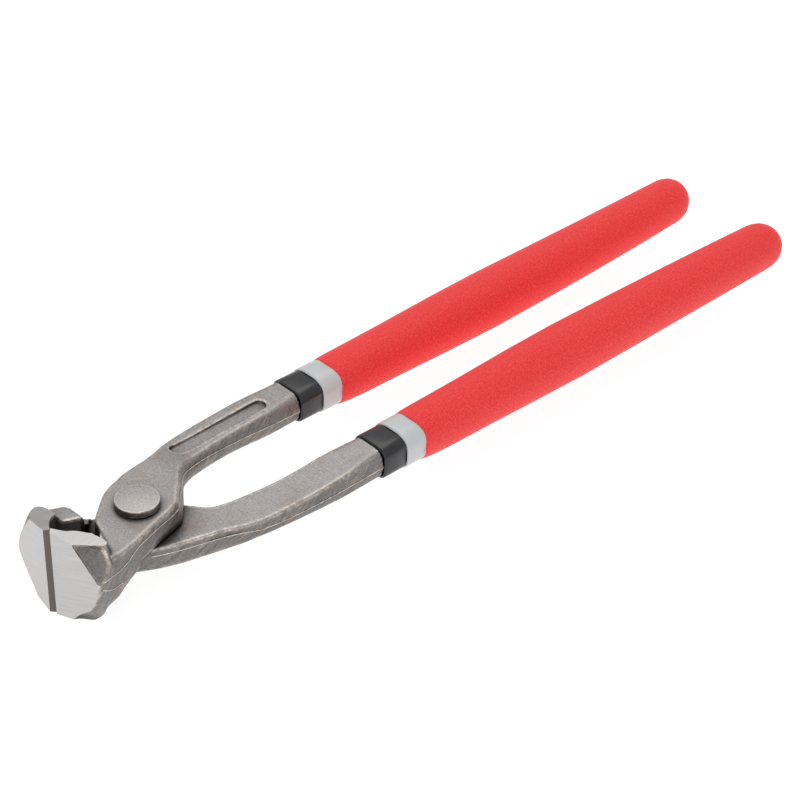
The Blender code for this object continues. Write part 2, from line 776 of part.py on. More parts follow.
def build_coats():
    """The black, grey and red coats of one handle, each clear of what it covers."""
    steel = steel_stations()
    black_cover = covered(steel, GREY_START, BLACK_WALL)
    black_lip = lip(COLLAR_START, GREY_START, BLACK_LIP_WIDTH / 2, BLACK_LIP_THICKNESS / 2)
    black = coat("black_coat", black_lip + black_cover, grown(steel, COAT_GAP), even_squareness)
    grey_cover = covered(black_cover, GRIP_START, GREY_WALL)
    grey_lip = lip(GREY_START, GRIP_START, GREY_LIP_WIDTH / 2, GREY_LIP_THICKNESS / 2)
    grey_bore = from_place(black_cover, GREY_START, COAT_GAP)
    grey = coat("grey_coat", grey_lip + grey_cover, grey_bore, even_squareness)
    grip_bore = from_place(grey_cover, GRIP_START, COAT_GAP)
    grip = coat("red_grip", grip_outside(), grip_bore, grip_squareness)
    return black, grey, grip


def even_squareness(_):
    """How square the black and grey coats are, the same all along."""
    return COAT_SQUARENESS


def rivet():
    """The headed rivet: a low round head above, the shank, and the peened end below."""
    profile = [
        (0.0, head_top()),
        (HEAD_RADIUS - HEAD_EDGE, head_top()),
        (HEAD_RADIUS - 0.3 * HEAD_EDGE, head_top() - 0.3 * HEAD_EDGE),
        (HEAD_RADIUS, head_top() - HEAD_EDGE),
        (HEAD_RADIUS, PLATE_TOP + RUNNING_CLEARANCE),
        (SHANK_RADIUS, PLATE_TOP + RUNNING_CLEARANCE),
        (SHANK_RADIUS, -PLATE_TOP - RUNNING_CLEARANCE),
        (PEENED_RADIUS, -PLATE_TOP - RUNNING_CLEARANCE),
        (PEENED_RADIUS, -PLATE_TOP - RUNNING_CLEARANCE - 0.4 * PEENED_HEIGHT),
        (0.8 * PEENED_RADIUS, -PLATE_TOP - RUNNING_CLEARANCE - 0.85 * PEENED_HEIGHT),
        (0.0, -PLATE_TOP - RUNNING_CLEARANCE - PEENED_HEIGHT),
    ]
    mesh = bmesh.new()
    rim = [mesh.verts.new((radius, 0.0, z)) for radius, z in profile]
    edges = [mesh.edges.new(pair) for pair in zip(rim, rim[1:])]
    bmesh.ops.spin(
        mesh, geom=rim + edges, cent=(0.0, 0.0, 0.0), axis=(0.0, 0.0, 1.0),
        angle=2 * math.pi, steps=ROUND_SIDES, use_merge=True, use_duplicate=False,
    )
    bmesh.ops.remove_doubles(mesh, verts=mesh.verts, dist=1e-6)
    bmesh.ops.recalc_face_normals(mesh, faces=mesh.faces)
    obj = object_from(mesh, "pivot_rivet")
    obj.data.shade_smooth()
    obj.data.set_sharp_from_angle(angle=math.radians(40.0))
    return obj


def head_top():
    """The height of the rivet's head above the joint's middle plane."""
    return PLATE_TOP + RUNNING_CLEARANCE + HEAD_HEIGHT


def empty_at(name, parent, location):
    """An empty that carries one lever and its coats."""
    empty = bpy.data.objects.new(name, None)
    empty.empty_display_size = 0.01
    empty.location = location
    empty.parent = parent
    bpy.context.scene.collection.objects.link(empty)
    return empty


def main():
    """Build the tool: two levers about the pivot, three coats on each handle, and the rivet."""
    clear_scene()
    steel = surface("forged_chrome_vanadium_steel", (0.30, 0.29, 0.28), 0.42, 1.0)
    rivet_steel = surface("turned_rivet_steel", (0.40, 0.39, 0.37), 0.38, 1.0)
    coats = {
        "black_coat": surface("black_dipped_vinyl", (0.012, 0.012, 0.014), 0.30, 0.0),
        "grey_coat": surface("light_grey_dipped_vinyl", (0.62, 0.63, 0.64), 0.38, 0.0),
        "red_grip": surface("red_textured_vinyl", (0.75, 0.035, 0.04), 0.62, 0.0),
    }
    lever = forged_lever()
    handle = build_coats()
    pivot = empty_at("pivot", None, (0.0, PIVOT_Y, REST_HEIGHT))
    upper = empty_at("upper_lever_axis", pivot, (0.0, 0.0, 0.0))
    lower = empty_at("lower_lever_axis", pivot, (0.0, 0.0, 0.0))
    lower.rotation_euler = (0.0, math.pi, 0.0)
    for side, axis in (("upper", upper), ("lower", lower)):
        forging = bpy.data.objects.new(f"{side}_lever", lever.data)
        pieces = [(forging, steel)]
        for piece in handle:
            copy = bpy.data.objects.new(f"{side}_{piece.name}", piece.data)
            pieces.append((copy, coats[piece.name]))
        for obj, material in pieces:
            bpy.context.scene.collection.objects.link(obj)
            obj.parent = axis
            if not obj.data.materials:
                obj.data.materials.append(material)
    for model in (lever, *handle):
        bpy.data.objects.remove(model, do_unlink=True)
    pin = rivet()
    pin.parent = pivot
    pin.data.materials.append(rivet_steel)


main()
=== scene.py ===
"""Looks for the concreters nippers: forged levers, rivet and dipped coats on a white light table.

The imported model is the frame. Each sub-assembly is a class that builds its pieces about the tool's own
pivot and dresses them: the forging, which both levers share, the rivet, and the coats of each handle.
"""

import json
import logging
import math
from collections.abc import Callable
from dataclasses import dataclass
from enum import Enum

import bpy
from mathutils import Matrix, Vector

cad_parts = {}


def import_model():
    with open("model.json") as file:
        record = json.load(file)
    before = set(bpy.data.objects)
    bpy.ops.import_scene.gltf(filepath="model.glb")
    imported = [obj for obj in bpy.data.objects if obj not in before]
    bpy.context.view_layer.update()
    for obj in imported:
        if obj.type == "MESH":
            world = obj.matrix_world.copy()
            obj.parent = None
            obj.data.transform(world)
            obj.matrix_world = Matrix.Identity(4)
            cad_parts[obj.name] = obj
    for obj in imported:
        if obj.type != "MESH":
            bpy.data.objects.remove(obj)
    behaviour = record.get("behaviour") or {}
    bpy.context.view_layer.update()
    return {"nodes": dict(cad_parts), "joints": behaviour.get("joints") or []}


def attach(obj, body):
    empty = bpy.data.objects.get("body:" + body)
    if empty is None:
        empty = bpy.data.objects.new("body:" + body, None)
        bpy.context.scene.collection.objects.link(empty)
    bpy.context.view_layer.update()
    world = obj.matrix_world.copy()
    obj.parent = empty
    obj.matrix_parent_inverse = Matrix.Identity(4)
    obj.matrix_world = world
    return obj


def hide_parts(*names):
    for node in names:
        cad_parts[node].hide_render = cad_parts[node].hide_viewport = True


LOG = logging.getLogger("nippers")
MM = 0.001
CUT_EXACTLY = 1e-7  # bisect's own default snaps points that lie 0.1 mm off the plane


class Side(Enum):
    """The two halves of the tool, each named after where its lap plate lies."""

    UPPER = "upper"
    LOWER = "lower"

    @property
    def body(self) -> str:
        """The rigid body that this half's pieces ride on."""
        return f"{self.value}_half"

    @property
    def sign(self) -> float:
        """Minus one where the handle lies at negative X, plus one where it lies at positive X."""
        return -1.0 if self is Side.UPPER else 1.0


def linear(code: str) -> tuple[float, float, float, float]:
    """Turn an sRGB hex code into linear light.

    Args:
        code: Six hex digits, with or without a leading hash.

    Returns:
        Red, green, blue and an alpha of one.
    """
    digits = code.lstrip("#")
    channels = [int(digits[i : i + 2], 16) / 255 for i in (0, 2, 4)]
    light = [c / 12.92 if c <= 0.04045 else ((c + 0.055) / 1.055) ** 2.4 for c in channels]
    return (light[0], light[1], light[2], 1.0)


def add_node(
    tree: bpy.types.NodeTree,
    kind: str,
    links: dict[int | str, bpy.types.NodeSocket] | None = None,
    values: dict[int | str, object] | None = None,
    **settings: object,
) -> bpy.types.Node:
    """Add a node with its settings, socket values and incoming links.

    Args:
        tree: The node tree that gets the node.
        kind: The node's type name.
        links: Output sockets to link, by input name or index.
        values: Default values, by input name or index.
        **settings: Properties of the node itself.

    Returns:
        The new node.
    """
    node = tree.nodes.new(kind)
    for name, value in settings.items():
        setattr(node, name, value)
    for key, value in (values or {}).items():
        node.inputs[key].default_value = value
    for key, socket in (links or {}).items():
        tree.links.new(socket, node.inputs[key])
    return node


@dataclass(frozen=True)
class Finish:
    """A finish: what the real surface is, and the numbers that its material starts from."""

    name: str
    base: str
    roughness: float
    metallic: float = 0.0

    def material(self) -> bpy.types.Material:
        """Make the material, or give the one already made.

        Returns:
            The finished material.
        """
        if self.name in bpy.data.materials:
            return bpy.data.materials[self.name]
        material = bpy.data.materials.new(self.name)
        material.use_nodes = True
        tree = material.node_tree
        shader = tree.nodes["Principled BSDF"]
        shader.inputs["Base Color"].default_value = linear(self.base)
        shader.inputs["Roughness"].default_value = self.roughness
        shader.inputs["Metallic"].default_value = self.metallic
        material.diffuse_color = linear(self.base)
        self.pattern(tree, shader)
        return material

    def pattern(self, tree: bpy.types.NodeTree, shader: bpy.types.Node) -> None:
        """Add the finish's own pattern; a plain finish has none."""


@dataclass(frozen=True)
class ForgedSteel(Finish):
    """Chrome-vanadium steel, drop forged, then tumbled.

    The tops are painted lighter than the flanks: painted shade, along with the scale that the flanks keep.
    Edges are rubbed to bare metal in patches and painted bright as a highlight, hollows and the steel under
    other parts are painted dark as shade, and the whole skin has a fine sandy grain.
    """

    # The flanks' colour: painted shade, darker than the tops, along with the scale that they keep.
    flank_shade_and_scale: str = "#878380"
    warm: str = "#A0938B"
    # The colour of rubbed edges: bare metal, and a painted highlight.
    bright: str = "#E6DAD0"
    grain_mm: float = 0.55  # real grain is about 0.2 mm; drawn coarser so that it shows
    grain_depth_mm: float = 0.06
    blotch_mm: float = 1.8
    patch_mm: float = 7.0
    # How far in from an edge the rubbed metal and painted highlight reach.
    rubbed_highlight_mm: float = 1.3
    # How far the painted shade of hollows and neighbouring parts reaches.
    shade_reach_mm: float = 9.0
    shear_mm: float = 1.1
    shear_slant: float = 0.75
    rays: int = 8

    def pattern(self, tree: bpy.types.NodeTree, shader: bpy.types.Node) -> None:
        """Lay the skin: body colour, painted shade on flanks and in hollows, painted highlight on rubbed
        edges, shear marks, relief.
        """
        place = add_node(tree, "ShaderNodeTexCoord").outputs["Object"]
        patches, blotches, grain = (
            add_node(
                tree,
                "ShaderNodeTexNoise",
                {"Vector": place},
                {"Scale": 1 / (size_mm * MM), "Detail": detail, "Roughness": 0.65},
            ).outputs["Fac"]
            for size_mm, detail in ((self.patch_mm, 4.0), (self.blotch_mm, 3.0), (self.grain_mm, 2.0))
        )
        normal = add_node(tree, "ShaderNodeNewGeometry").outputs["Normal"]
        upright = add_node(tree, "ShaderNodeSeparateXYZ", {"Vector": normal}).outputs["Z"]
        level = add_node(tree, "ShaderNodeMath", {0: upright}, operation="ABSOLUTE").outputs[0]
        topness = add_node(
            tree, "ShaderNodeMapRange", {"Value": level}, {"From Min": 0.25, "From Max": 0.85}
        ).outputs["Result"]
        # Flanks painted darker than tops by their slope: painted shade, with some scale.
        skin = self.body_colour(tree, topness, patches)
        # Edges painted bright: rubbed bare metal and a painted highlight.
        skin = add_node(
            tree,
            "ShaderNodeMix",
            {"Factor": self.rubbed_and_highlight_share(tree, blotches), 6: skin},
            {7: linear(self.bright)},
            data_type="RGBA",
        ).outputs[2]
        # Hollows and steel under other parts painted darker: painted shade, with some scale.
        for layer in (self.shade_and_grain(tree, grain), self.shear_marks(tree, place, topness, patches)):
            skin = add_node(
                tree, "ShaderNodeVectorMath", {0: skin, 1: layer}, operation="MULTIPLY"
            ).outputs["Vector"]
        tree.links.new(skin, shader.inputs["Base Color"])
        rough = add_node(
            tree,
            "ShaderNodeMapRange",
            {"Value": grain},
            {"To Min": self.roughness - 0.10, "To Max": self.roughness + 0.14},
        )
        tree.links.new(rough.outputs["Result"], shader.inputs["Roughness"])
        height = add_node(tree, "ShaderNodeMath", {0: grain, 1: blotches}, operation="ADD").outputs[0]
        bump = add_node(
            tree,
            "ShaderNodeBump",
            {"Height": height},
            {"Strength": 0.8, "Distance": self.grain_depth_mm * MM},
        )
        tree.links.new(bump.outputs["Normal"], shader.inputs["Normal"])

    def body_colour(
        self, tree: bpy.types.NodeTree, topness: bpy.types.NodeSocket, patches: bpy.types.NodeSocket
    ) -> bpy.types.NodeSocket:
        """Colour the tops, and the flanks darker in painted shade along with their scale, with warm patches
        on both.

        Args:
            tree: The node tree.
            topness: How level the surface lies.
            patches: Where the warm patches come.

        Returns:
            The colour.
        """
        # Darker on steep faces, lighter on level ones: painted shade.
        slope_shaded = add_node(
            tree,
            "ShaderNodeMix",
            {"Factor": topness},
            {6: linear(self.flank_shade_and_scale), 7: linear(self.base)},
            data_type="RGBA",
        ).outputs[2]
        tint = add_node(
            tree,
            "ShaderNodeMapRange",
            {"Value": patches},
            {"From Min": 0.48, "From Max": 0.68, "To Max": 0.7},
        ).outputs["Result"]
        return add_node(
            tree, "ShaderNodeMix", {"Factor": tint, 6: slope_shaded}, {7: linear(self.warm)}, data_type="RGBA"
        ).outputs[2]

    def rubbed_and_highlight_share(
        self, tree: bpy.types.NodeTree, blotches: bpy.types.NodeSocket
    ) -> bpy.types.NodeSocket:
        """Find the outer edges that tumbling rubbed bright, also painted bright as a highlight, broken up
        in blotches.

        Args:
            tree: The node tree.
            blotches: What breaks the rubbed edges up.

        Returns:
            How much rubbed metal and painted highlight shows.
        """
        # Convex edges, found by rays inside the piece, get the rubbed metal and the painted highlight.
        inner_room = add_node(
            tree,
            "ShaderNodeAmbientOcclusion",
            values={"Distance": self.rubbed_highlight_mm * MM},
            inside=True,
            only_local=True,
            samples=self.rays,
        ).outputs["AO"]
        edge = add_node(
            tree, "ShaderNodeMapRange", {"Value": inner_room}, {"From Min": 0.99, "From Max": 0.75}
        ).outputs["Result"]
        broken = add_node(
            tree,
            "ShaderNodeMapRange",
            {"Value": blotches},
            {"From Min": 0.36, "From Max": 0.56, "To Min": 0.2},
        ).outputs["Result"]
        return add_node(tree, "ShaderNodeMath", {0: edge, 1: broken}, operation="MULTIPLY").outputs[0]

    def shade_and_grain(
        self, tree: bpy.types.NodeTree, grain: bpy.types.NodeSocket
    ) -> bpy.types.NodeSocket:
        """Darken hollows and steel near other parts in painted shade, with the scale and oil that stay
        there, and speckle the skin with its grain.

        Args:
            tree: The node tree.
            grain: The grain.

        Returns:
            The factor by which they darken or lighten the skin.
        """
        # Where rays meet other parts or the floor nearby, the steel is painted darker as shade.
        open_air = add_node(
            tree,
            "ShaderNodeAmbientOcclusion",
            values={"Distance": self.shade_reach_mm * MM},
            samples=self.rays,
        ).outputs["AO"]
        hollow_shade = add_node(
            tree,
            "ShaderNodeMapRange",
            {"Value": open_air},
            {"From Min": 0.42, "From Max": 0.92, "To Min": 0.12},
        ).outputs["Result"]
        speckle = add_node(
            tree,
            "ShaderNodeMapRange",
            {"Value": grain},
            {"From Min": 0.3, "From Max": 0.7, "To Min": 0.7, "To Max": 1.22},
        ).outputs["Result"]
        return add_node(tree, "ShaderNodeMath", {0: hollow_shade, 1: speckle}, operation="MULTIPLY").outputs[0]

    def shear_marks(
        self,
        tree: bpy.types.NodeTree,
        place: bpy.types.NodeSocket,
        topness: bpy.types.NodeSocket,
        patches: bpy.types.NodeSocket,
    ) -> bpy.types.NodeSocket:
        """Draw the slanted marks that the trimming die leaves in patches on the flanks.

        Args:
            tree: The node tree.
            place: The place on the piece.
            topness: How level the surface lies; the marks keep to the flanks.
            patches: The patches that they keep to.

        Returns:
            The factor by which they darken or lighten the skin.
        """
        slanted = add_node(
            tree,
            "ShaderNodeMapping",
            {"Vector": place},
            {"Rotation": (self.shear_slant, 0.0, 0.0), "Scale": (4.0, 6.0, 1.0)},
            vector_type="TEXTURE",
        ).outputs[0]
        marks = add_node(
            tree,
            "ShaderNodeTexNoise",
            {"Vector": slanted},
            {"Scale": 1 / (self.shear_mm * MM), "Detail": 2.0, "Roughness": 0.65},
        ).outputs["Fac"]
        steep = add_node(
            tree, "ShaderNodeMapRange", {"Value": topness}, {"From Min": 0.6, "From Max": 0.1}
        ).outputs["Result"]
        patchy = add_node(
            tree,
            "ShaderNodeMapRange",
            {"Value": patches},
            {"From Min": 0.42, "From Max": 0.58, "To Min": 0.2},
        ).outputs["Result"]
        where = add_node(tree, "ShaderNodeMath", {0: steep, 1: patchy}, operation="MULTIPLY").outputs[0]
        swing = add_node(
            tree,
            "ShaderNodeMapRange",
            {"Value": marks},
            {"From Min": 0.35, "From Max": 0.65, "To Min": -0.38, "To Max": 0.25},
        ).outputs["Result"]
        return add_node(
            tree, "ShaderNodeMath", {0: where, 1: swing}, {2: 1.0}, operation="MULTIPLY_ADD"
        ).outputs[0]


@dataclass(frozen=True)
class GroundSteel(Finish):
    """Hardened steel ground flat on a belt: light, with fine level lines across the jaw."""

    line_mm: float = 0.45  # real lines are about 0.05 mm apart; drawn coarser so that they show
    line_length: float = 25.0
    slant: float = math.radians(20.0)

    def pattern(self, tree: bpy.types.NodeTree, shader: bpy.types.Node) -> None:
        """Draw the grinding lines, which run across the jaw and change quickly with height."""
        place = add_node(tree, "ShaderNodeTexCoord").outputs["Object"]
        stretch = add_node(
            tree,
            "ShaderNodeMapping",
            {"Vector": place},
            {"Rotation": (0.0, -self.slant, 0.0), "Scale": (self.line_length, self.line_length, 1.0)},
            vector_type="TEXTURE",
        ).outputs[0]
        lines = add_node(
            tree,
            "ShaderNodeTexNoise",
            {"Vector": stretch},
            {"Scale": 1 / (self.line_mm * MM), "Detail": 3.0},
        ).outputs["Fac"]
        shade = add_node(
            tree,
            "ShaderNodeMapRange",
            {"Value": lines},
            {"From Min": 0.3, "From Max": 0.7, "To Min": 0.90, "To Max": 1.05},
        ).outputs["Result"]
        colour = add_node(
            tree, "ShaderNodeVectorMath", {1: shade}, {0: linear(self.base)[:3]}, operation="MULTIPLY"
        )
        tree.links.new(colour.outputs["Vector"], shader.inputs["Base Color"])
        rough = add_node(
            tree,
            "ShaderNodeMapRange",
            {"Value": lines},
            {"To Min": self.roughness - 0.08, "To Max": self.roughness + 0.10},
        )
        tree.links.new(rough.outputs["Result"], shader.inputs["Roughness"])


@dataclass(frozen=True)
class DippedVinyl(Finish):
    """PVC plastisol from a dip tank: an even skin, smooth or foamed to a sandy surface."""

    grit_mm: float = 3.0
    grit_depth_mm: float = 0.01
    speck: str = ""
    sheen: float = 0.0

    def pattern(self, tree: bpy.types.NodeTree, shader: bpy.types.Node) -> None:
        """Raise the grit, or the faint flow marks of the dip, and speckle a foamed skin."""
        place = add_node(tree, "ShaderNodeTexCoord").outputs["Object"]
        grit = add_node(
            tree, "ShaderNodeTexNoise", {"Vector": place}, {"Scale": 1 / (self.grit_mm * MM), "Detail": 3.0}
        ).outputs["Fac"]
        bump = add_node(
            tree, "ShaderNodeBump", {"Height": grit}, {"Strength": 0.8, "Distance": self.grit_depth_mm * MM}
        )
        tree.links.new(bump.outputs["Normal"], shader.inputs["Normal"])
        if not self.speck:
            return
        shader.inputs["Sheen Weight"].default_value = self.sheen
        shader.inputs["Sheen Roughness"].default_value = 0.45
        shader.inputs["Sheen Tint"].default_value = linear("#FFB8B0")
        share = add_node(tree, "ShaderNodeMapRange", {"Value": grit}, {"From Min": 0.42, "From Max": 0.68})
        mix = add_node(
            tree,
            "ShaderNodeMix",
            {"Factor": share.outputs["Result"]},
            {6: linear(self.base), 7: linear(self.speck)},
            data_type="RGBA",
        )
        tree.links.new(mix.outputs[2], shader.inputs["Base Color"])


# Drop forged and tumbled: satin grey with a sandy grain, painted darker on flanks and in hollows as shade,
# and bright where it is rubbed and where a highlight is painted on its edges.
FORGED = ForgedSteel("forged_chrome_vanadium_steel", "#A6A2A0", 0.50, 1.0)
# Ground on a belt: the brightest metal here, with fine lines that soften its gloss.
GROUND = GroundSteel("belt_ground_steel", "#C0BEBD", 0.36, 1.0)
# The cutting edges' bevel is painted dark brown as a painted dark reflection, so that it looks dull between
# the faces.
DARK_PAINTED_BEVEL = GroundSteel("painted_dark_edge_bevel_steel", "#6E6661", 0.50, 1.0)
# Flash sheared off in the trimming die: bare metal, seen as a thin light line.
FLASH = Finish("sheared_flash_steel", "#E2D6CC", 0.40, 1.0)
# Turned bar, tumbled with the tool: smoother than the forging, with a brownish rim painted darker than its
# top as shade, and painted shade where it meets the plates.
TURNED = ForgedSteel(
    "turned_rivet_steel",
    "#B4AFAC",
    0.48,
    1.0,
    flank_shade_and_scale="#7A6F69",
    warm="#ADA49D",
    rubbed_highlight_mm=0.5,
    shade_reach_mm=4.0,
    grain_depth_mm=0.012,
)
# Dipped PVC plastisol: the inner coats cure glossy and satin, the outer one foams to a sandy skin.
BLACK_VINYL = DippedVinyl("glossy_black_dip", "#28282B", 0.26)
GREY_VINYL = DippedVinyl("satin_light_grey_dip", "#CDCECF", 0.34)
RED_VINYL = DippedVinyl(
    "sandy_red_dip", "#F42B2D", 0.70, grit_mm=0.5, grit_depth_mm=0.10, speck="#FF4A48", sheen=0.25
)


def choose(piece: bpy.types.Object) -> None:
    """Make a piece the only selected one, and the active one."""
    bpy.ops.object.select_all(action="DESELECT")
    piece.select_set(True)
    bpy.context.view_layer.objects.active = piece


def pick_faces(piece: bpy.types.Object, wanted: Callable[[bpy.types.MeshPolygon], bool]) -> int:
    """Go into edit mode with only the faces that pass a test selected.

    Args:
        piece: The piece, which is active.
        wanted: The test of a face.

    Returns:
        How many faces are selected.
    """
    bpy.ops.object.mode_set(mode="EDIT")
    bpy.context.tool_settings.mesh_select_mode = (False, False, True)
    bpy.ops.mesh.select_all(action="DESELECT")
    bpy.ops.object.mode_set(mode="OBJECT")
    flags = [wanted(face) for face in piece.data.polygons]
    piece.data.polygons.foreach_set("select", flags)
    bpy.ops.object.mode_set(mode="EDIT")
    return sum(flags)


def apply_modifier(piece: bpy.types.Object, kind: str, **settings: object) -> None:
    """Give the active piece a modifier and apply it.

    Args:
        piece: The piece, which is active and in object mode.
        kind: The modifier's type.
        **settings: Properties of the modifier.
    """
    modifier = piece.modifiers.new(kind.lower(), kind)
    for name, value in settings.items():
        setattr(modifier, name, value)
    bpy.ops.object.modifier_apply(modifier=modifier.name)


def own_copy(source: bpy.types.Object, name: str) -> bpy.types.Object:
    """Copy an object together with its mesh.

    Args:
        source: The object to copy.
        name: The new object's name.

    Returns:
        The new object, selected and active.
    """
    piece = bpy.data.objects.new(name, source.data.copy())
    bpy.context.scene.collection.objects.link(piece)
    choose(piece)
    return piece


def merged_copy(source: bpy.types.Object, name: str) -> bpy.types.Object:
    """Copy a mesh into an object of its own, with its loose triangles joined.

    Args:
        source: The object to copy.
        name: The new object's name.

    Returns:
        The new object, selected and active.
    """
    piece = own_copy(source, name)
    bpy.ops.object.mode_set(mode="EDIT")
    bpy.ops.mesh.select_all(action="SELECT")
    bpy.ops.mesh.remove_doubles(threshold=1e-6)
    bpy.ops.object.mode_set(mode="OBJECT")
    return piece


def finish_piece(piece: bpy.types.Object, side: Side, slot: str, *nodes: str) -> bpy.types.Object:
    """Let a piece ride on its half of the tool and stand for its CAD nodes.

    Args:
        piece: The finished piece.
        side: The half that carries it.
        slot: The record's material slot of its finish; not used.
        *nodes: The CAD nodes that it stands for.

    Returns:
        The same piece.
    """
    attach(piece, side.body)
    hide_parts(*nodes)
    LOG.info("%s: %d faces, rides on %s", piece.name, len(piece.data.polygons), side.body)
    return piece


@dataclass(frozen=True)
class GroundPlane:
    """One pass of the grinding belt: a plane about the pivot, its outward side, and its finish.

    The belt may go a little deeper than the frame's own face, as it did on the photographed tool.
    """

    point: tuple[float, float, float]
    outward: tuple[float, float, float]
    finish: GroundSteel
    deeper: float = 0.0

    def normal(self) -> Vector:
        """The outward direction of the ground face."""
        return Vector(self.outward).normalized()

    def beyond(self, place: Vector, pivot: Vector) -> float:
        """How far a place lies outside the plane.

        Args:
            place: The place.
            pivot: The tool's pivot.

        Returns:
            The distance, positive outside.
        """
        return (place - pivot - Vector(self.point)).dot(self.normal())


@dataclass(frozen=True)
class Push:
    """A soft push of the skin: where, which way, and how far round it reaches, in mm about the pivot."""

    middle: tuple[float, float, float]
    move: tuple[float, float, float]
    reach: float


# Both levers come from one die, and each filled it a little differently.
PUSHES = {
    Side.UPPER: (
        Push((-12.2, 3.5, 4.0), (-1.3, 0.0, 0.0), 13.0),
        Push((-11.0, -4.5, 5.0), (-0.7, -0.3, 0.0), 7.0),
        Push((12.8, -10.6, -4.0), (0.9, 0.7, -0.6), 4.5),
        Push((10.2, -27.0, -11.8), (-1.5, 0.0, 0.2), 8.0),
        Push((3.5, 12.8, 6.0), (-0.4, -0.4, 0.0), 5.0),
    ),
    Side.LOWER: (
        Push((16.5, -25.0, 10.0), (1.1, 0.0, 0.5), 7.0),
        Push((13.2, -12.5, -5.0), (0.6, 0.4, -0.5), 5.0),
        Push((17.3, -24.5, 2.5), (0.8, 0.0, 0.0), 8.0),
        Push((-8.4, 13.2, -4.6), (-1.8, -1.6, 0.0), 6.0),
    ),
}


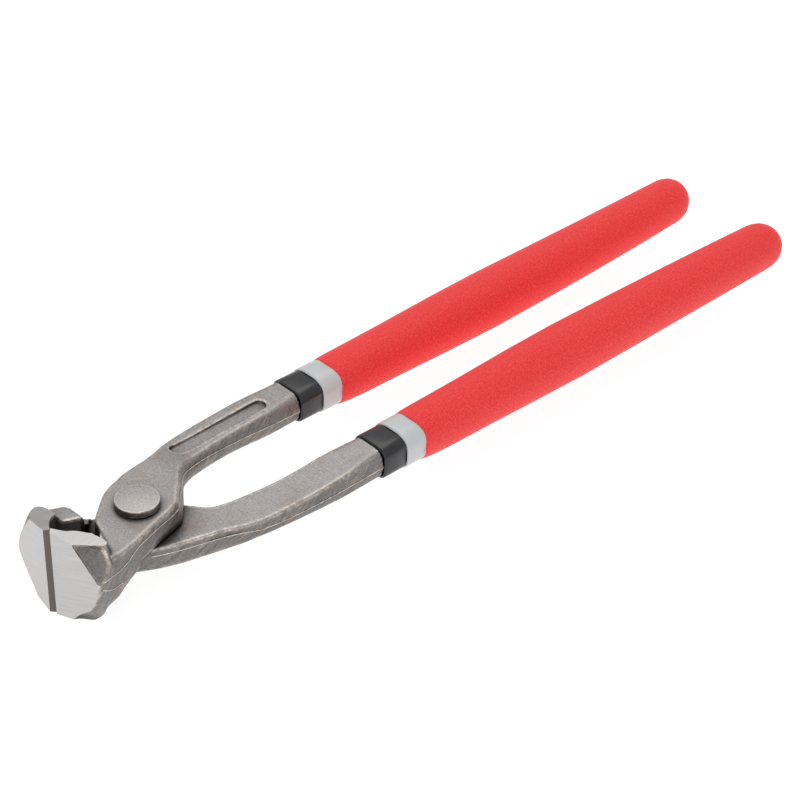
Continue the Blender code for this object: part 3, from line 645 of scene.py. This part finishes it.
@dataclass
class Forging:
    """The drop-forged lever, made once as the upper lever and turned over for the lower one.

    A slightly oversize blank gets an even forged skin, and its jaw is then ground flat as the real one is.
    Single sizes are in metres; places and the tongue's size are in mm about the pivot.
    """

    pivot: Vector
    recession: float = math.radians(10.0)
    far_fall: float = math.radians(15.0)
    far_rise: float = math.radians(9.0)
    jaw_reach: float = 28.9 * MM
    edge_setback: float = 1.2 * MM
    face_start: float = 1.6 * MM
    edge_gap: float = 0.3 * MM
    edge_clearance: float = 0.10 * MM
    near_height: float = 15.1 * MM
    near_extra: float = 0.4 * MM  # this belt and the next went deeper on the photographed tool
    far_height: float = 14.2 * MM
    far_extra: float = 0.3 * MM
    jaw_rear: float = -19.0 * MM
    jaw_side: float = -3.0 * MM
    tang_start: float = 69.6 * MM
    stock: float = 0.7 * MM  # left on the faces that the belt grinds off again
    skin: float = 0.30 * MM
    wave_size: float = 3.5 * MM
    wave_height: float = 0.10 * MM
    panel_middle: tuple[float, float] = (-17.0, 41.1)
    panel_reach: tuple[float, float] = (4.0, 18.2)
    panel_floor: tuple[float, float] = (3.0, 4.65)
    panel_sink: float = 0.45 * MM
    tongue_middle: tuple[float, float, float] = (10.0, -22.9, 14.4)
    tongue_root: tuple[float, float, float] = (8.5, -24.0, 13.0)
    tongue_size: tuple[float, float, float] = (7.1, 2.4, 2.8)
    tongue_turn: float = math.radians(24.5)
    tongue_draft: float = 0.6
    hold: float = 1.0 * MM  # how far round its middle a push takes hold of the skin
    flash_radius: float = 0.15 * MM
    flash_lift: float = 0.05 * MM
    flash_nick: float = 0.9 * MM
    flash_raggedness: float = 0.30 * MM
    flash_left: float = 0.62
    soft_angle: float = math.radians(34.0)
    jaw_start: float = -20.5 * MM
    jaw_blend: float = 8.0 * MM
    jaw_shift: tuple[float, float, float] = (-0.95 * MM, 0.0, -0.40 * MM)

    def planes(self) -> list[GroundPlane]:
        """The four passes of the grinding belt."""
        along = Vector((self.face_start - self.edge_gap / 2, -self.edge_setback))
        return [
            GroundPlane(
                (self.face_start, -self.jaw_reach, 0.0),
                (math.sin(self.recession), -math.cos(self.recession), 0.0),
                GROUND,
            ),
            GroundPlane((0.0, 0.0, self.near_height), (0.0, 0.0, 1.0), GROUND, self.near_extra),
            GroundPlane(
                (0.0, -self.jaw_reach, -self.far_height),
                (math.tan(self.far_fall), -math.tan(self.far_rise), -1.0),
                GROUND,
                self.far_extra,
            ),
            GroundPlane((self.face_start, -self.jaw_reach, 0.0), (along.y, -along.x, 0.0), DARK_PAINTED_BEVEL),
        ]

    def on_jaw(self, place: Vector) -> bool:
        """Whether a place lies on the jaw, in front of the lap plate."""
        return place.y - self.pivot.y < self.jaw_rear and place.x > self.jaw_side

    def blank(self, node: bpy.types.Object) -> bpy.types.Object:
        """Make the blank: the frame's lever, with stock left on the faces to be ground.

        Args:
            node: The frame's lever.

        Returns:
            The blank, with its tang.
        """
        piece = merged_copy(node, "forging")
        piece.data.materials.clear()
        for plane in self.planes():
            normal = plane.normal()
            pick_faces(
                piece,
                lambda face: self.on_jaw(face.center)
                and face.normal.dot(normal) > 0.999
                and abs(plane.beyond(face.center, self.pivot)) < 0.02 * MM,
            )
            bpy.ops.mesh.extrude_region_move(TRANSFORM_OT_translate={"value": tuple(normal * self.stock)})
            bpy.ops.object.mode_set(mode="OBJECT")
        panel = pick_faces(piece, self.in_panel)
        bpy.ops.transform.translate(value=(0.0, 0.0, -self.panel_sink))
        bpy.ops.object.mode_set(mode="OBJECT")
        LOG.info("blank: %d faces of the recessed panel's floor sunk", panel)
        self.leaf_tongue(piece)
        return piece

    def in_panel(self, face: bpy.types.MeshPolygon) -> bool:
        """Whether a face belongs to the floor of the arm's recessed panel."""
        place = (face.center - self.pivot) / MM
        inside = all(abs(place[i] - self.panel_middle[i]) < self.panel_reach[i] for i in (0, 1))
        low, high = self.panel_floor
        return face.normal.z > 0.95 and inside and low < place.z < high

    def leaf_tongue(self, piece: bpy.types.Object) -> None:
        """Carry the ground leaf's pointed tip back over the scoop: an oval slab, drawn in below.

        Args:
            piece: The blank, which the slab joins.
        """
        bpy.ops.object.select_all(action="DESELECT")
        middle = self.pivot + Vector(self.tongue_middle) * MM
        bpy.ops.mesh.primitive_cylinder_add(
            vertices=48,
            radius=1.0,
            depth=1.0,
            location=tuple(middle),
            rotation=(0.0, 0.0, self.tongue_turn),
            scale=tuple(size * MM for size in self.tongue_size),
        )
        tongue = bpy.context.object
        bpy.ops.object.transform_apply(location=True, rotation=True, scale=True)
        pick_faces(tongue, lambda face: face.normal.z < -0.9)
        root = self.pivot + Vector(self.tongue_root) * MM
        bpy.ops.transform.resize(
            value=(self.tongue_draft, self.tongue_draft, 1.0), center_override=tuple(root)
        )
        bpy.ops.object.mode_set(mode="OBJECT")
        choose(piece)
        tongue.select_set(True)
        bpy.ops.object.join()

    def cut_tang(self, piece: bpy.types.Object) -> bpy.types.Object:
        """Part the tang, which the coats hide, from the rest, so that it keeps its few faces.

        Args:
            piece: The blank, which loses its tang.

        Returns:
            The tang.
        """
        tang = merged_copy(piece, "tang")
        start = (0.0, self.pivot.y + self.tang_start, 0.0)
        for part, backwards in ((tang, True), (piece, False)):
            choose(part)
            pick_faces(part, lambda face: True)
            bpy.ops.mesh.bisect(
                plane_co=start,
                plane_no=(0.0, 1.0, 0.0),
                use_fill=True,
                clear_inner=backwards,
                clear_outer=not backwards,
                threshold=CUT_EXACTLY,
            )
            bpy.ops.object.mode_set(mode="OBJECT")
        return tang

    def forge_skin(self, piece: bpy.types.Object) -> None:
        """Give the blank one even skin, with broken edges and the slight waves of a die."""
        choose(piece)
        apply_modifier(piece, "REMESH", mode="VOXEL", voxel_size=self.skin)
        apply_modifier(piece, "SMOOTH", factor=0.5, iterations=3)
        waves = bpy.data.textures.new("die_waves", type="CLOUDS")
        waves.noise_scale = self.wave_size
        apply_modifier(
            piece,
            "DISPLACE",
            texture=waves,
            strength=self.wave_height,
            mid_level=0.5,
            texture_coords="LOCAL",
        )

    def fill_out(self, piece: bpy.types.Object, side: Side) -> None:
        """Push the skin softly where this lever fills its die more or less than the other.

        Args:
            piece: The lever, still lying as the upper one.
            side: Which lever it becomes.
        """
        choose(piece)
        for push in PUSHES[side]:
            centre = piece.closest_point_on_mesh(self.pivot + Vector(push.middle) * MM)[1]
            picked = pick_faces(piece, lambda face: (face.center - centre).length < self.hold)
            LOG.info("%s lever: push at %s takes hold of %d faces", side.value, push.middle, picked)
            bpy.ops.transform.translate(
                value=tuple(Vector(push.move) * MM),
                use_proportional_edit=True,
                proportional_edit_falloff="SMOOTH",
                proportional_size=push.reach * MM,
            )
            bpy.ops.object.mode_set(mode="OBJECT")

    def grind(self, piece: bpy.types.Object) -> None:
        """Grind the jaw: cut each face flat and leave its edges crisp."""
        for plane in self.planes():
            normal = plane.normal()
            pick_faces(piece, lambda face: self.on_jaw(face.center))
            bpy.ops.mesh.bisect(
                plane_co=tuple(self.pivot + Vector(plane.point) - normal * plane.deeper),
                plane_no=tuple(normal),
                use_fill=True,
                clear_outer=True,
                threshold=CUT_EXACTLY,
            )
            bpy.ops.object.mode_set(mode="OBJECT")
        pick_faces(piece, lambda face: self.on_jaw(face.center))
        bpy.ops.mesh.bisect(
            plane_co=(self.edge_clearance, self.pivot.y, 0.0),
            plane_no=(-1.0, 0.0, 0.0),
            use_fill=True,
            clear_outer=True,
            threshold=CUT_EXACTLY,
        )
        bpy.ops.object.mode_set(mode="OBJECT")

    def dress(self, piece: bpy.types.Object) -> None:
        """Give the forged skin and each ground face its finish, with a sharp line between them."""
        finishes = [FORGED, GROUND, DARK_PAINTED_BEVEL, FLASH]
        for finish in finishes:
            piece.data.materials.append(finish.material())
        for plane in self.planes():
            normal = plane.normal()
            pick_faces(
                piece,
                lambda face: face.normal.dot(normal) > 0.999
                and abs(plane.beyond(face.center, self.pivot) + plane.deeper) < 0.005 * MM,
            )
            piece.active_material_index = finishes.index(plane.finish)
            bpy.ops.object.material_slot_assign()
            bpy.ops.mesh.region_to_loop()
            bpy.ops.mesh.mark_sharp()
            bpy.ops.object.mode_set(mode="OBJECT")
        bpy.ops.object.shade_smooth_by_angle(angle=self.soft_angle)

    def flash_paths(self) -> list[list[tuple[float, float, float]]]:
        """Where the trimmed flash shows as a thin raised line, in mm about the pivot."""
        inner = [
            (-11.7, 68.0, 0.0), (-11.3, 60.0, 0.3), (-11.0, 52.0, 0.9), (-10.7, 46.0, 1.4),
            (-10.4, 40.0, 1.8), (-9.8, 34.0, 2.5), (-8.9, 28.0, 3.0), (-7.0, 23.0, 3.9),
            (-5.5, 20.5, 4.4), (-3.4, 18.2, 4.8), (-1.0, 16.3, 5.1), (0.8, 15.1, 5.3),
            (2.2, 14.0, 5.5), (4.6, 11.9, 5.6), (6.6, 9.6, 5.6), (8.3, 5.0, 5.6),
            (9.1, 0.6, 5.6), (10.5, -4.0, 5.7), (11.9, -8.4, 5.7), (12.6, -10.6, 5.2),
            (13.3, -12.8, 4.3), (13.9, -15.0, 3.4), (14.7, -17.3, 3.0), (15.8, -19.8, 3.6),
            (16.9, -22.1, 4.4), (17.5, -24.0, 4.8),
        ]
        outer = [
            (-24.2, 68.0, 0.0), (-23.8, 58.0, 0.6), (-23.2, 50.0, 1.2), (-22.8, 42.0, 1.5),
            (-22.0, 34.0, 1.7), (-20.8, 27.0, 1.9), (-18.2, 20.0, 2.2), (-15.0, 12.0, 2.4),
            (-13.4, 4.0, 2.4), (-11.0, -4.0, 2.4),
        ]
        branch = [
            (17.6, -24.5, 2.7), (16.8, -22.5, 0.9), (15.9, -20.4, -0.6), (14.7, -18.0, -1.6),
            (13.9, -16.0, -1.8),
        ]
        return [inner, outer, branch]

    def flash(self, piece: bpy.types.Object) -> bpy.types.Object:
        """Lay the flash lines on the flanks: thin beads that follow the skin and break up along it.

        Args:
            piece: The forged and ground lever.

        Returns:
            The beads.
        """
        beads = []
        for path in self.flash_paths():
            bpy.ops.object.select_all(action="DESELECT")
            bpy.ops.curve.primitive_nurbs_path_add()
            wire = bpy.context.object
            spline = wire.data.splines[0]
            spline.points.add(len(path) - len(spline.points))
            for knot, place in zip(spline.points, path):
                on_skin = piece.closest_point_on_mesh(self.pivot + Vector(place) * MM)[1]
                knot.co = (*on_skin, 1.0)
            spline.order_u = 3
            spline.use_endpoint_u = True
            spline.resolution_u = 16
            wire.data.bevel_depth = self.flash_radius
            wire.data.bevel_resolution = 1
            wire.data.use_fill_caps = True
            bpy.ops.object.convert(target="MESH")
            beads.append(bpy.context.object)
        for bead in beads:
            bead.select_set(True)
        bpy.ops.object.join()
        bead = bpy.context.object
        bead.name = "flash_beads"
        bpy.ops.object.transform_apply(location=True, rotation=True, scale=True)
        bead.data.materials.clear()
        apply_modifier(
            bead,
            "SHRINKWRAP",
            target=piece,
            wrap_method="NEAREST_SURFACEPOINT",
            wrap_mode="OUTSIDE",
            offset=self.flash_lift,
        )
        ragged = bpy.data.textures.new("ragged_flash", type="CLOUDS")
        ragged.noise_scale = self.flash_nick
        apply_modifier(
            bead,
            "DISPLACE",
            texture=ragged,
            strength=self.flash_raggedness,
            mid_level=self.flash_left,
            texture_coords="LOCAL",
        )
        bpy.ops.object.shade_smooth()
        return bead

    def build(self, node: bpy.types.Object) -> list[bpy.types.Object]:
        """Forge both levers, grind them and turn the lower one over.

        Args:
            node: The frame's upper lever.

        Returns:
            The finished upper and lower levers.
        """
        skin = self.blank(node)
        tang = self.cut_tang(skin)
        self.forge_skin(skin)
        tang.data.materials.clear()
        tang.data.materials.append(FORGED.material())
        choose(tang)
        bpy.ops.object.shade_smooth_by_angle(angle=self.soft_angle)
        levers = [self.lever(skin, tang, side) for side in Side]
        for pattern in (skin, tang):
            bpy.data.objects.remove(pattern)
        return levers

    def lever(self, skin: bpy.types.Object, tang: bpy.types.Object, side: Side) -> bpy.types.Object:
        """Make one lever from the forged skin.

        Args:
            skin: The forged skin that both levers share.
            tang: The tang that both levers share.
            side: Which lever it becomes.

        Returns:
            The finished lever.
        """
        piece = own_copy(skin, f"{side.value}_forging")
        self.fill_out(piece, side)
        self.grind(piece)
        self.dress(piece)
        beads = self.flash(piece)
        beads.data.materials.append(FLASH.material())
        own_tang = own_copy(tang, f"{side.value}_tang")
        choose(piece)
        beads.select_set(True)
        own_tang.select_set(True)
        bpy.ops.object.join()
        bpy.ops.object.mode_set(mode="EDIT")
        bpy.ops.mesh.select_all(action="SELECT")
        if side is Side.LOWER:
            bpy.ops.transform.rotate(value=math.pi, orient_axis="Y", center_override=tuple(self.pivot))
        bpy.ops.object.mode_set(mode="OBJECT")
        pick_faces(piece, lambda face: face.center.y - self.pivot.y < self.jaw_start)
        bpy.ops.transform.translate(
            value=self.jaw_shift,
            use_proportional_edit=True,
            proportional_edit_falloff="SMOOTH",
            proportional_size=self.jaw_blend,
        )
        bpy.ops.object.mode_set(mode="OBJECT")
        return finish_piece(piece, side, "forged_steel", f"{side.value}_lever")


@dataclass
class Rivet:
    """The headed rivet that joins the two lap plates."""

    pivot: Vector
    shank_radius: float = 4.0 * MM
    plate_top: float = 8.25 * MM
    head_radius: float = 6.25 * MM
    head_height: float = 1.9 * MM
    head_rim: float = 0.28 * MM
    peened_radius: float = 5.6 * MM
    peened_height: float = 1.4 * MM
    peened_round: float = 0.8
    soft_angle: float = math.radians(28.0)
    sides: int = 96

    def build(self) -> bpy.types.Object:
        """Turn the shank, upset the head above and peen the end below.

        Returns:
            The finished rivet.
        """
        bpy.ops.object.select_all(action="DESELECT")
        bpy.ops.mesh.primitive_cylinder_add(
            vertices=self.sides,
            radius=self.shank_radius,
            depth=2 * self.plate_top,
            location=tuple(self.pivot),
        )
        piece = bpy.context.object
        piece.name = "headed_rivet"
        bpy.ops.object.transform_apply(location=True, rotation=True, scale=True)
        peened_rim = self.peened_round * self.peened_height
        self.upset(piece, 1.0, self.head_radius, self.head_height, self.head_rim, 3)
        self.upset(piece, -1.0, self.peened_radius, self.peened_height, peened_rim, 6)
        bpy.ops.object.shade_smooth_by_angle(angle=self.soft_angle)
        piece.data.materials.append(TURNED.material())
        return finish_piece(piece, Side.LOWER, "rivet_steel", "pivot_rivet")

    def upset(
        self, piece: bpy.types.Object, way: float, radius: float, height: float, rim: float, steps: int
    ) -> None:
        """Spread one end of the shank into a head.

        Args:
            piece: The rivet.
            way: Plus one for the upper end, minus one for the lower end.
            radius: The head's radius.
            height: The head's height.
            rim: How far its rim is rounded.
            steps: How many faces round the rim.
        """
        pick_faces(
            piece,
            lambda face: face.normal.z * way > 0.9 and (face.center.z - self.pivot.z) * way > 0.0,
        )
        spread = radius / self.shank_radius
        bpy.ops.mesh.extrude_region_move(TRANSFORM_OT_translate={"value": (0.0, 0.0, 0.0)})
        bpy.ops.transform.resize(value=(spread, spread, 1.0), center_override=tuple(self.pivot))
        bpy.ops.mesh.extrude_region_move(TRANSFORM_OT_translate={"value": (0.0, 0.0, way * height)})
        bpy.ops.mesh.bevel(offset=rim, segments=steps, affect="EDGES", clamp_overlap=True)
        bpy.ops.object.mode_set(mode="OBJECT")


@dataclass
class DippedHandle:
    """The three coats of one handle, each dipped over the one before.

    A coat is a box drawn out station by station along the handle, with its long edges rounded, a soft lip
    at the front and a bore for what it covers. All sizes are in mm about the pivot, and a station is
    (y, width, thickness).
    """

    side: Side
    pivot: Vector
    collar_start: float = 68.8
    grip_end: float = 247.6
    collar_spread: float = 18.0
    end_spread: float = 20.1
    lean: float = 0.3  # both collars stand this far towards +X, which fades out to the end
    dip: float = 0.35  # the grip sags this much behind its front edge
    dip_y: float = 98.0
    dip_reach: float = 16.0
    rise_start: float = 130.0
    rise_length: float = 118.0
    upper_rise: float = 0.8
    lower_rise: float = 1.5
    bore: float = 6.0
    soft_angle: float = math.radians(40.0)
    black: tuple = (
        (68.8, 13.4, 10.8), (77.4, 13.4, 10.8), (79.0, 11.6, 10.2), (150.0, 10.4, 9.5),
        (238.0, 9.7, 9.1),
    )
    grey: tuple = (
        (77.0, 14.7, 12.3), (84.4, 14.7, 12.3), (86.5, 13.0, 11.6), (150.0, 12.3, 11.4),
        (239.5, 11.7, 11.1),
    )
    red: tuple = (
        (83.9, 15.8, 13.7), (86.0, 16.1, 14.2), (89.0, 16.2, 14.9), (95.0, 16.2, 15.6), (110.0, 16.5, 16.3),
        (130.0, 17.4, 17.4), (150.0, 18.0, 18.0), (175.0, 17.5, 17.5), (200.0, 16.8, 16.8),
        (225.0, 16.0, 16.0), (238.8, 15.4, 15.4), (241.2, 15.0, 15.0), (243.4, 13.8, 13.8),
        (245.0, 12.0, 12.0), (246.1, 9.4, 9.4), (246.7, 6.0, 6.0), (246.9, 2.4, 2.4),
    )

    def centre_x(self, y: float) -> float:
        """The x of the handle's centre line at y, in mm: it bends outwards towards its end."""
        share = max(0.0, (y - self.collar_start) / (self.grip_end - self.collar_start))
        spread = self.collar_spread + share**3 * (self.end_spread - self.collar_spread)
        return self.side.sign * spread + self.lean * (1.0 - share**3)

    def centre_z(self, y: float) -> float:
        """How far the red grip's middle stands above the tang's, in mm: it sags, then rises to its end."""
        dip = -self.dip * math.exp(-(((y - self.dip_y) / self.dip_reach) ** 2))
        rise = self.lower_rise if self.side is Side.LOWER else self.upper_rise
        return dip + rise * max(0.0, (y - self.rise_start) / self.rise_length) ** 1.5

    def coat(
        self, name: str, stations: tuple, corner: float, wall: float, lip: float, lifted: bool
    ) -> bpy.types.Object:
        """Draw out one coat.

        Args:
            name: The piece's name.
            stations: Its stations.
            corner: How much of each side its rounded corners take, in percent.
            wall: The thickness of its front edge, in mm.
            lip: How far the front edge is rounded, in mm.
            lifted: Whether it follows the grip's own middle line.

        Returns:
            The coat.
        """
        y, width, thickness = stations[0]
        lift = self.centre_z(y) if lifted else 0.0
        bpy.ops.object.select_all(action="DESELECT")
        bpy.ops.mesh.primitive_cube_add(size=1.0)
        piece = bpy.context.object
        piece.name = f"{self.side.value}_{name}"
        bpy.ops.object.mode_set(mode="EDIT")
        bpy.ops.mesh.select_all(action="SELECT")
        first = stations[1][0] - y
        bpy.ops.transform.resize(value=(width * MM, first * MM, thickness * MM))
        middle = self.pivot + Vector((self.centre_x(y), y + first / 2, lift)) * MM
        bpy.ops.transform.translate(value=tuple(middle))
        bpy.ops.object.mode_set(mode="OBJECT")
        pick_faces(piece, lambda face: face.normal.y > 0.9)
        here = (y + first, self.centre_x(y), lift, width, thickness)
        here = self.reshape(here, stations[1], lifted)
        for station in stations[2:]:
            bpy.ops.mesh.extrude_region_move(TRANSFORM_OT_translate={"value": (0.0, 0.0, 0.0)})
            here = self.reshape(here, station, lifted)
        bpy.ops.object.mode_set(mode="OBJECT")
        self.round_corners(piece, corner)
        self.open_front(piece, y, wall, lip)
        bpy.ops.object.shade_smooth_by_angle(angle=self.soft_angle)
        return piece

    def reshape(self, here: tuple, station: tuple, lifted: bool) -> tuple:
        """Move the selected end face to a station and give it the station's size.

        Args:
            here: The end face's y, centre x, centre z, width and thickness, in mm.
            station: Where it goes: y, width and thickness, in mm.
            lifted: Whether it follows the grip's own middle line.

        Returns:
            The end face's new y, centre x, centre z, width and thickness.
        """
        y, x, z, width, thickness = here
        new_y, new_width, new_thickness = station
        new_x = self.centre_x(new_y)
        new_z = self.centre_z(new_y) if lifted else 0.0
        bpy.ops.transform.resize(
            value=(new_width / width, 1.0, new_thickness / thickness),
            center_override=tuple(self.pivot + Vector((x, y, z)) * MM),
        )
        bpy.ops.transform.translate(value=((new_x - x) * MM, (new_y - y) * MM, (new_z - z) * MM))
        return (new_y, new_x, new_z, new_width, new_thickness)

    def round_corners(self, piece: bpy.types.Object, corner: float) -> None:
        """Round the four long edges by a share of each side.

        Args:
            piece: The coat.
            corner: The share, in percent.
        """
        pick_faces(piece, lambda face: abs(face.normal.y) < 0.98)
        bpy.ops.object.mode_set(mode="OBJECT")
        mesh = piece.data
        mesh.polygons.foreach_set("select", [False] * len(mesh.polygons))
        mesh.vertices.foreach_set("select", [False] * len(mesh.vertices))
        for edge in mesh.edges:
            ends = [mesh.vertices[i].co for i in edge.vertices]
            along = (ends[1] - ends[0]).normalized()
            level = abs(along.x) > 0.98 or abs(along.z) > 0.98
            edge.select = not level
        bpy.ops.object.mode_set(mode="EDIT")
        bpy.context.tool_settings.mesh_select_mode = (False, True, False)
        bpy.ops.mesh.bevel(
            offset_type="PERCENT", offset_pct=corner, segments=7, affect="EDGES", clamp_overlap=True
        )
        bpy.ops.object.mode_set(mode="OBJECT")

    def open_front(self, piece: bpy.types.Object, y: float, wall: float, lip: float) -> None:
        """Round the front edge, and bore the coat out behind it.

        Args:
            piece: The coat.
            y: Where its front edge lies, in mm.
            wall: The thickness of its front edge, in mm.
            lip: How far the front edge is rounded, in mm.
        """
        front = self.pivot.y + y * MM

        def is_front(face: bpy.types.MeshPolygon) -> bool:
            """Whether a face closes the coat's front."""
            return face.normal.y < -0.95 and abs(face.center.y - front) < 0.05 * MM

        pick_faces(piece, is_front)
        bpy.ops.mesh.bevel(offset=lip * MM, segments=3, affect="EDGES", clamp_overlap=True)
        bpy.ops.object.mode_set(mode="OBJECT")
        pick_faces(piece, is_front)
        bpy.ops.mesh.inset(thickness=(wall - lip) * MM)
        bpy.ops.mesh.extrude_region_move(TRANSFORM_OT_translate={"value": (0.0, self.bore * MM, 0.0)})
        bpy.ops.object.mode_set(mode="OBJECT")

    def build(self) -> list[bpy.types.Object]:
        """Dip the handle three times.

        Returns:
            The finished coats.
        """
        made = []
        for name, stations, corner, wall, lip, finish in (
            ("black_coat", self.black, 30.0, 0.8, 0.25, BLACK_VINYL),
            ("grey_coat", self.grey, 38.0, 0.7, 0.3, GREY_VINYL),
            ("red_grip", self.red, 47.0, 0.8, 0.35, RED_VINYL),
        ):
            piece = self.coat(f"{name}_dip", stations, corner, wall, lip, name == "red_grip")
            piece.data.materials.append(finish.material())
            slot = name.split("_")[0] + "_vinyl"
            made.append(finish_piece(piece, self.side, slot, f"{self.side.value}_{name}"))
        return made


@dataclass
class Studio:
    """A white light table, soft boxes, and the camera at the photograph's angle.

    The camera's reach and each box's place are in metres, the first from the pivot.
    """

    pivot: Vector
    reach: tuple[float, float, float] = (0.381212, -0.272472, 0.380888)
    right: tuple[float, float, float] = (0.683580, 0.729460, 0.024624)
    forward: tuple[float, float, float] = (-0.581130, 0.564371, -0.586321)
    lens: float = 98.854
    sensor: float = 36.0
    table_size: float = 8.0
    table_glow: float = 0.90
    room_light: float = 0.60
    boxes: tuple = (
        ("top_box", (-0.25, 0.15, 0.75), 0.6, 1.9),
        ("front_box", (0.25, -0.75, 0.35), 0.5, 0.8),
    )

    def build(self) -> None:
        """Set up the floor, the lights and the camera."""
        self.camera()
        self.floor()
        self.lights()
        bpy.context.scene.view_settings.view_transform = "Standard"

    def camera(self) -> None:
        """Place the camera."""
        data = bpy.data.cameras.new("photo_camera")
        data.lens = self.lens
        data.sensor_width = self.sensor
        data.clip_start = 0.01
        camera = bpy.data.objects.new("photo_camera", data)
        right = Vector(self.right).normalized()
        forward = Vector(self.forward)
        forward = (forward - forward.dot(right) * right).normalized()
        turn = Matrix((right, right.cross(forward), -forward)).transposed()
        camera.matrix_world = Matrix.Translation(self.pivot + Vector(self.reach)) @ turn.to_4x4()
        bpy.context.scene.collection.objects.link(camera)
        bpy.context.scene.camera = camera

    def floor(self) -> None:
        """Lay the light table under the tool: a pale sheet lit from below, which swallows soft shadows."""
        bpy.ops.mesh.primitive_plane_add(size=self.table_size, location=(0.0, 0.0, 0.0))
        floor = bpy.context.object
        floor.name = "pale_light_table"
        material = bpy.data.materials.new("white_light_table")
        material.use_nodes = True
        shader = material.node_tree.nodes["Principled BSDF"]
        shader.inputs["Base Color"].default_value = linear("#8C8C8C")
        shader.inputs["Roughness"].default_value = 1.0
        shader.inputs["Specular IOR Level"].default_value = 0.0
        shader.inputs["Emission Color"].default_value = (1.0, 1.0, 1.0, 1.0)
        shader.inputs["Emission Strength"].default_value = self.table_glow
        floor.data.materials.append(material)

    def lights(self) -> None:
        """Hang the soft boxes in an even white room."""
        world = bpy.data.worlds.new("studio_white")
        bpy.context.scene.world = world
        world.use_nodes = True
        world.node_tree.nodes["Background"].inputs["Color"].default_value = (1.0, 1.0, 1.0, 1.0)
        world.node_tree.nodes["Background"].inputs["Strength"].default_value = self.room_light
        for name, place, size, power in self.boxes:
            lamp = bpy.data.lights.new(name, "AREA")
            lamp.energy = power
            lamp.size = size
            obj = bpy.data.objects.new(name, lamp)
            obj.location = place
            obj.rotation_euler = (self.pivot - Vector(place)).to_track_quat("-Z", "Y").to_euler()
            bpy.context.scene.collection.objects.link(obj)


def main() -> None:
    """Build every piece of the tool, then the studio."""
    logging.basicConfig(level=logging.INFO, format="%(message)s")
    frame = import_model()
    nodes = frame["nodes"]
    pivot = Vector(frame["joints"][0]["pos_m"])
    bpy.ops.object.select_all(action="DESELECT")
    Forging(pivot).build(nodes["upper_lever"])
    for side in Side:
        DippedHandle(side, pivot).build()
    Rivet(pivot).build()
    Studio(pivot).build()


if __name__ == "__main__":
    main()
